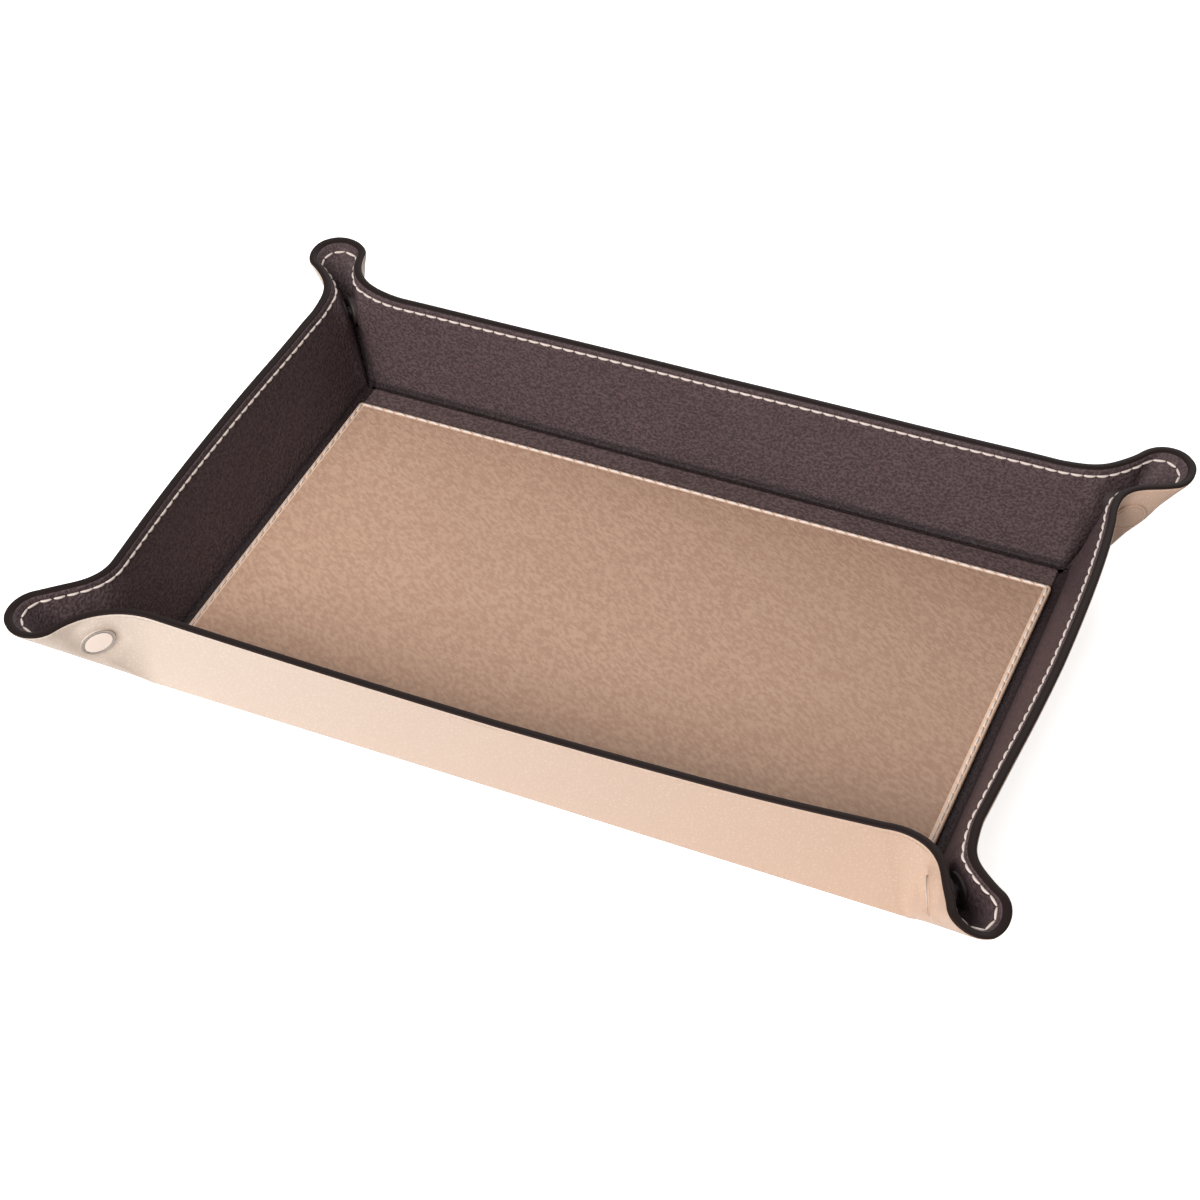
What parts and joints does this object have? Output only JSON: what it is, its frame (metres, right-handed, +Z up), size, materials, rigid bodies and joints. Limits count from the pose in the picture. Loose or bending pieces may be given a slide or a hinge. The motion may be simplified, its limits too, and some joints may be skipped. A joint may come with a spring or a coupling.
{
  "type": "valet tray",
  "caption": "Rectangular leather valet tray with leaning walls and pinched corner ears that press studs hold, for keys and pocket things; it unsnaps and folds nearly flat.",
  "frame": {"origin": "on the table under the middle of the base", "axes": "+X along the long walls, +Y towards the back wall, +Z up"},
  "size_m": [0.3002, 0.2058, 0.036],
  "materials": {
    "outer_leather": "pebbled, matt",
    "lining_leather": "pebbled, satin",
    "inlay_leather": "pebbled, matt",
    "board": "raw fibreboard",
    "stud_metal": "satin nickel"
  },
  "bodies": {
    "base": {"base_outer_leather": "outer_leather", "base_board": "board", "base_lining": "lining_leather", "inlay_panel": "inlay_leather"},
    "back_wall": {"back_wall_outer": "outer_leather", "back_wall_lining": "lining_leather"},
    "front_wall": {"front_wall_outer": "outer_leather", "front_wall_lining": "lining_leather"},
    "right_wall": {"right_wall_outer": "outer_leather", "right_wall_lining": "lining_leather"},
    "left_wall": {"left_wall_outer": "outer_leather", "left_wall_lining": "lining_leather"},
    "back_right_long_flap": {"back_right_long_flap_outer": "outer_leather", "back_right_long_flap_lining": "lining_leather", "back_right_snap_cap": "stud_metal", "back_right_snap_socket": "stud_metal"},
    "back_right_long_tip": {"back_right_long_tip_outer": "outer_leather", "back_right_long_tip_lining": "lining_leather"},
    "back_right_end_flap": {"back_right_end_flap_outer": "outer_leather", "back_right_end_flap_lining": "lining_leather", "back_right_snap_stud": "stud_metal", "back_right_snap_post": "stud_metal"},
    "back_right_end_tip": {"back_right_end_tip_outer": "outer_leather", "back_right_end_tip_lining": "lining_leather"},
    "back_left_long_flap": {"back_left_long_flap_outer": "outer_leather", "back_left_long_flap_lining": "lining_leather", "back_left_snap_cap": "stud_metal", "back_left_snap_socket": "stud_metal"},
    "back_left_long_tip": {"back_left_long_tip_outer": "outer_leather", "back_left_long_tip_lining": "lining_leather"},
    "back_left_end_flap": {"back_left_end_flap_outer": "outer_leather", "back_left_end_flap_lining": "lining_leather", "back_left_snap_stud": "stud_metal", "back_left_snap_post": "stud_metal"},
    "back_left_end_tip": {"back_left_end_tip_outer": "outer_leather", "back_left_end_tip_lining": "lining_leather"},
    "front_right_long_flap": {"front_right_long_flap_outer": "outer_leather", "front_right_long_flap_lining": "lining_leather", "front_right_snap_cap": "stud_metal", "front_right_snap_socket": "stud_metal"},
    "front_right_long_tip": {"front_right_long_tip_outer": "outer_leather", "front_right_long_tip_lining": "lining_leather"},
    "front_right_end_flap": {"front_right_end_flap_outer": "outer_leather", "front_right_end_flap_lining": "lining_leather", "front_right_snap_stud": "stud_metal", "front_right_snap_post": "stud_metal"},
    "front_right_end_tip": {"front_right_end_tip_outer": "outer_leather", "front_right_end_tip_lining": "lining_leather"},
    "front_left_long_flap": {"front_left_long_flap_outer": "outer_leather", "front_left_long_flap_lining": "lining_leather", "front_left_snap_cap": "stud_metal", "front_left_snap_socket": "stud_metal"},
    "front_left_long_tip": {"front_left_long_tip_outer": "outer_leather", "front_left_long_tip_lining": "lining_leather"},
    "front_left_end_flap": {"front_left_end_flap_outer": "outer_leather", "front_left_end_flap_lining": "lining_leather", "front_left_snap_stud": "stud_metal", "front_left_snap_post": "stud_metal"},
    "front_left_end_tip": {"front_left_end_tip_outer": "outer_leather", "front_left_end_tip_lining": "lining_leather"}
  },
  "joints": [
    {"name": "back_wall_fold", "type": "hinge", "parent": "base", "child": "back_wall", "pos_m": [0, 0.0748, 0], "axis": [-1, 0, 0], "range_deg": [0, 70]},
    {"name": "front_wall_fold", "type": "hinge", "parent": "base", "child": "front_wall", "pos_m": [0, -0.0748, 0], "axis": [1, 0, 0], "range_deg": [0, 70]},
    {"name": "right_wall_fold", "type": "hinge", "parent": "base", "child": "right_wall", "pos_m": [0.122, 0, 0], "axis": [0, 1, 0], "range_deg": [0, 62.3]},
    {"name": "left_wall_fold", "type": "hinge", "parent": "base", "child": "left_wall", "pos_m": [-0.122, 0, 0], "axis": [0, -1, 0], "range_deg": [0, 62.3]},
    {"name": "back_right_long_flap_bend", "type": "hinge", "parent": "back_wall", "child": "back_right_long_flap", "pos_m": [0.11639, 0.07157, 0], "axis": [-0.1885, -0.2719, -0.9437], "range_deg": [0, 44.1]},
    {"name": "back_right_long_tip_bend", "type": "hinge", "parent": "back_right_long_flap", "child": "back_right_long_tip", "pos_m": [0.11863, 0.07419, 0], "axis": [0.4151, 0.5646, 0.7133], "range_deg": [0, 56]},
    {"name": "back_right_end_flap_bend", "type": "hinge", "parent": "right_wall", "child": "back_right_end_flap", "pos_m": [0.11877, 0.06919, 0], "axis": [0.3548, 0.1828, 0.9169], "range_deg": [0, 39.9]},
    {"name": "back_right_end_tip_bend", "type": "hinge", "parent": "back_right_end_flap", "child": "back_right_end_tip", "pos_m": [0.12139, 0.07143, 0], "axis": [-0.563, -0.4255, -0.7085], "range_deg": [0, 56]},
    {"name": "back_left_long_flap_bend", "type": "hinge", "parent": "back_wall", "child": "back_left_long_flap", "pos_m": [-0.11639, 0.07157, 0], "axis": [-0.1885, 0.2719, 0.9437], "range_deg": [0, 44.1]},
    {"name": "back_left_long_tip_bend", "type": "hinge", "parent": "back_left_long_flap", "child": "back_left_long_tip", "pos_m": [-0.11863, 0.07419, 0], "axis": [0.4151, -0.5646, -0.7133], "range_deg": [0, 56]},
    {"name": "back_left_end_flap_bend", "type": "hinge", "parent": "left_wall", "child": "back_left_end_flap", "pos_m": [-0.11877, 0.06919, 0], "axis": [0.3548, -0.1828, -0.9169], "range_deg": [0, 39.9]},
    {"name": "back_left_end_tip_bend", "type": "hinge", "parent": "back_left_end_flap", "child": "back_left_end_tip", "pos_m": [-0.12139, 0.07143, 0], "axis": [-0.563, 0.4255, 0.7085], "range_deg": [0, 56]},
    {"name": "front_right_long_flap_bend", "type": "hinge", "parent": "front_wall", "child": "front_right_long_flap", "pos_m": [0.11639, -0.07157, 0], "axis": [0.1885, -0.2719, 0.9437], "range_deg": [0, 44.1]},
    {"name": "front_right_long_tip_bend", "type": "hinge", "parent": "front_right_long_flap", "child": "front_right_long_tip", "pos_m": [0.11863, -0.07419, 0], "axis": [-0.4151, 0.5646, -0.7133], "range_deg": [0, 56]},
    {"name": "front_right_end_flap_bend", "type": "hinge", "parent": "right_wall", "child": "front_right_end_flap", "pos_m": [0.11877, -0.06919, 0], "axis": [-0.3548, 0.1828, -0.9169], "range_deg": [0, 39.9]},
    {"name": "front_right_end_tip_bend", "type": "hinge", "parent": "front_right_end_flap", "child": "front_right_end_tip", "pos_m": [0.12139, -0.07143, 0], "axis": [0.563, -0.4255, 0.7085], "range_deg": [0, 56]},
    {"name": "front_left_long_flap_bend", "type": "hinge", "parent": "front_wall", "child": "front_left_long_flap", "pos_m": [-0.11639, -0.07157, 0], "axis": [0.1885, 0.2719, -0.9437], "range_deg": [0, 44.1]},
    {"name": "front_left_long_tip_bend", "type": "hinge", "parent": "front_left_long_flap", "child": "front_left_long_tip", "pos_m": [-0.11863, -0.07419, 0], "axis": [-0.4151, -0.5646, 0.7133], "range_deg": [0, 56]},
    {"name": "front_left_end_flap_bend", "type": "hinge", "parent": "left_wall", "child": "front_left_end_flap", "pos_m": [-0.11877, -0.06919, 0], "axis": [-0.3548, -0.1828, 0.9169], "range_deg": [0, 39.9]},
    {"name": "front_left_end_tip_bend", "type": "hinge", "parent": "front_left_end_flap", "child": "front_left_end_tip", "pos_m": [-0.12139, -0.07143, 0], "axis": [0.563, 0.4255, -0.7085], "range_deg": [0, 56]}
  ],
  "couplings": [
    {"joint": "front_wall_fold", "follows": "back_wall_fold", "ratio": 1},
    {"joint": "right_wall_fold", "follows": "back_wall_fold", "ratio": 0.89},
    {"joint": "left_wall_fold", "follows": "back_wall_fold", "ratio": 0.89},
    {"joint": "back_right_long_flap_bend", "follows": "back_wall_fold", "ratio": 0.63},
    {"joint": "back_right_long_tip_bend", "follows": "back_wall_fold", "ratio": 0.8},
    {"joint": "back_right_end_flap_bend", "follows": "back_wall_fold", "ratio": 0.57},
    {"joint": "back_right_end_tip_bend", "follows": "back_wall_fold", "ratio": 0.8},
    {"joint": "back_left_long_flap_bend", "follows": "back_wall_fold", "ratio": 0.63},
    {"joint": "back_left_long_tip_bend", "follows": "back_wall_fold", "ratio": 0.8},
    {"joint": "back_left_end_flap_bend", "follows": "back_wall_fold", "ratio": 0.57},
    {"joint": "back_left_end_tip_bend", "follows": "back_wall_fold", "ratio": 0.8},
    {"joint": "front_right_long_flap_bend", "follows": "back_wall_fold", "ratio": 0.63},
    {"joint": "front_right_long_tip_bend", "follows": "back_wall_fold", "ratio": 0.8},
    {"joint": "front_right_end_flap_bend", "follows": "back_wall_fold", "ratio": 0.57},
    {"joint": "front_right_end_tip_bend", "follows": "back_wall_fold", "ratio": 0.8},
    {"joint": "front_left_long_flap_bend", "follows": "back_wall_fold", "ratio": 0.63},
    {"joint": "front_left_long_tip_bend", "follows": "back_wall_fold", "ratio": 0.8},
    {"joint": "front_left_end_flap_bend", "follows": "back_wall_fold", "ratio": 0.57},
    {"joint": "front_left_end_tip_bend", "follows": "back_wall_fold", "ratio": 0.8}
  ]
}
